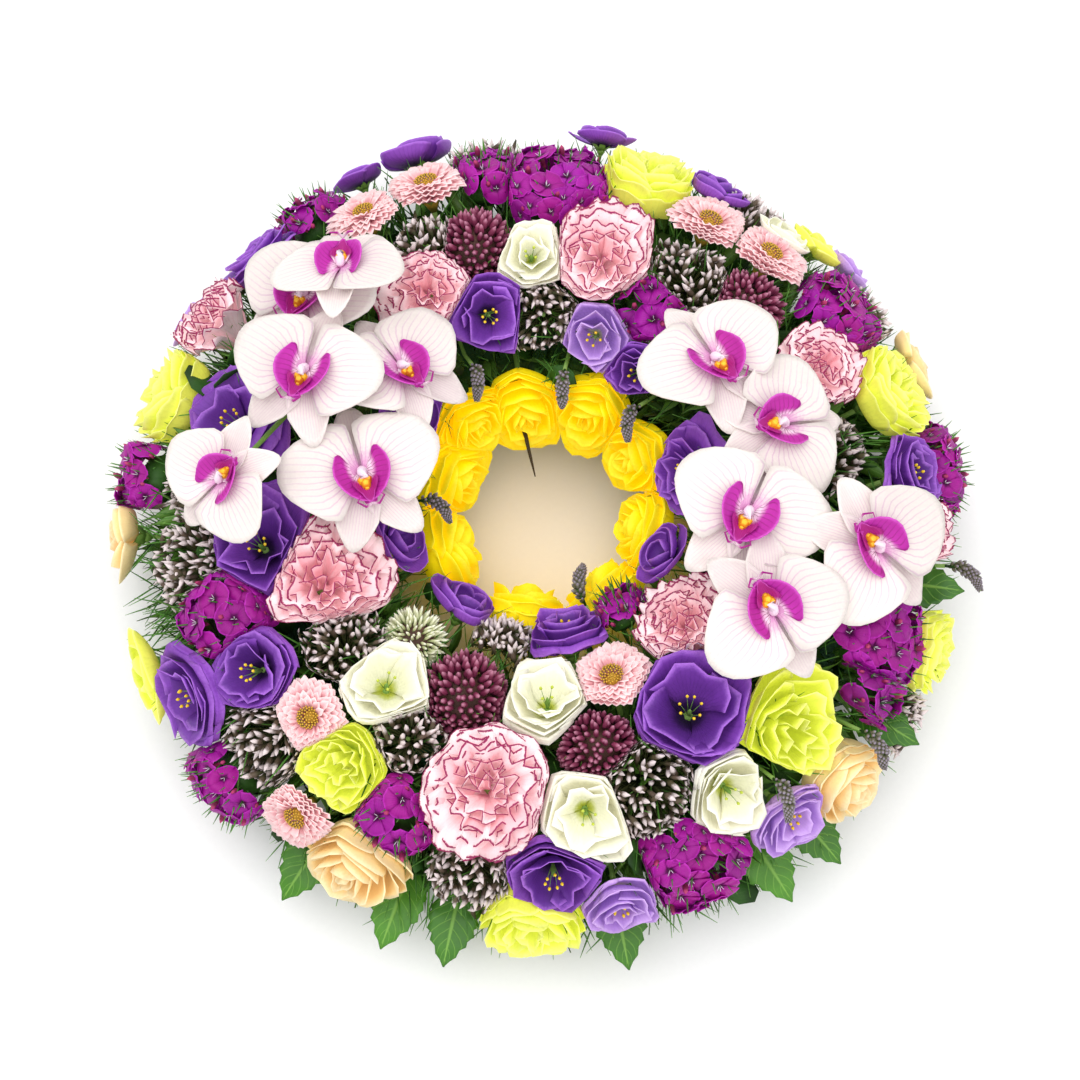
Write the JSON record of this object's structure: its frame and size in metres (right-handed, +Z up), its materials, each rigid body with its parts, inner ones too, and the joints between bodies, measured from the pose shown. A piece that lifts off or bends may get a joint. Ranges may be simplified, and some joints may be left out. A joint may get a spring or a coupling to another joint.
{
  "type": "funeral wreath",
  "caption": "Round funeral wreath of mixed cut flowers: orchids, roses, carnations, lisianthus and filler bunches planted all round a foam ring in a shallow tray.",
  "frame": {"origin": "centre of the outline at the underside of the tray, which stands on z = 0", "axes": "+Z up out of the flowers, +Y towards the top edge of the picture, +X towards its right edge"},
  "size_m": [0.5429, 0.5439, 0.1713],
  "materials": {
    "yellow_rose_petals": "satin",
    "lime_rose_petals": "satin",
    "peach_rose_petals": "satin",
    "carnation_petals": "matte",
    "chrysanthemum_petals": "matte",
    "allium_florets": "matte",
    "scabiosa_florets": "matte",
    "white_lisianthus_petals": "satin",
    "purple_lisianthus_petals": "satin",
    "orchid_petals": "satin",
    "filler_greens": "matte",
    "foam": "matte",
    "tray_plastic": "satin"
  },
  "bodies": {
    "root": {"allium_back": "allium_florets", "allium_back_right": "allium_florets", "allium_front": "allium_florets", "allium_front_left": "allium_florets", "carnation_back": "carnation_petals", "carnation_back_left": "carnation_petals", "carnation_front": "carnation_petals", "carnation_left_back": "carnation_petals", "carnation_left_front": "carnation_petals", "carnation_right": "carnation_petals", "carnation_right_back": "carnation_petals", "carnation_right_front": "carnation_petals", "chrysanthemum_front": "chrysanthemum_petals", "chrysanthemum_front_left": "chrysanthemum_petals", "chrysanthemum_left_front": "chrysanthemum_petals", "chrysanthemums_back_left": "chrysanthemum_petals", "chrysanthemums_back_right": "chrysanthemum_petals", "filler_spray_1": "filler_greens", "filler_spray_2": "filler_greens", "filler_spray_3": "filler_greens", "filler_spray_4": "filler_greens", "filler_spray_5": "filler_greens", "filler_spray_6": "filler_greens", "filler_spray_7": "filler_greens", "foam_ring": "foam", "lime_rose_back": "lime_rose_petals", "lime_rose_front": "lime_rose_petals", "lime_rose_front_left": "lime_rose_petals", "lime_rose_front_right": "lime_rose_petals", "lime_rose_left": "lime_rose_petals", "lime_rose_right": "lime_rose_petals", "lime_rose_right_front": "lime_rose_petals", "orchid_spray_left": "orchid_petals", "orchid_spray_right": "orchid_petals", "peach_rose_front_left": "peach_rose_petals", "peach_rose_front_right": "peach_rose_petals", "purple_lisianthus_back_inner": "purple_lisianthus_petals", "purple_lisianthus_back_left": "purple_lisianthus_petals", "purple_lisianthus_back_right": "purple_lisianthus_petals", "purple_lisianthus_front": "purple_lisianthus_petals", "purple_lisianthus_front_inner": "purple_lisianthus_petals", "purple_lisianthus_front_right": "purple_lisianthus_petals", "purple_lisianthus_left": "purple_lisianthus_petals", "purple_lisianthus_left_back": "purple_lisianthus_petals", "purple_lisianthus_left_front": "purple_lisianthus_petals", "purple_lisianthus_right": "purple_lisianthus_petals", "purple_lisianthus_right_front": "purple_lisianthus_petals", "purple_lisianthus_right_inner": "purple_lisianthus_petals", "scabiosa_front_left": "scabiosa_florets", "tray": "tray_plastic", "white_lisianthus_back": "white_lisianthus_petals", "white_lisianthus_front": "white_lisianthus_petals", "white_lisianthus_left": "white_lisianthus_petals", "white_lisianthus_middle": "white_lisianthus_petals", "white_lisianthus_right": "white_lisianthus_petals", "yellow_rose_back_left": "yellow_rose_petals", "yellow_roses_back": "yellow_rose_petals", "yellow_roses_front": "yellow_rose_petals", "yellow_roses_left": "yellow_rose_petals", "yellow_roses_right": "yellow_rose_petals"}
  },
  "joints": []
}
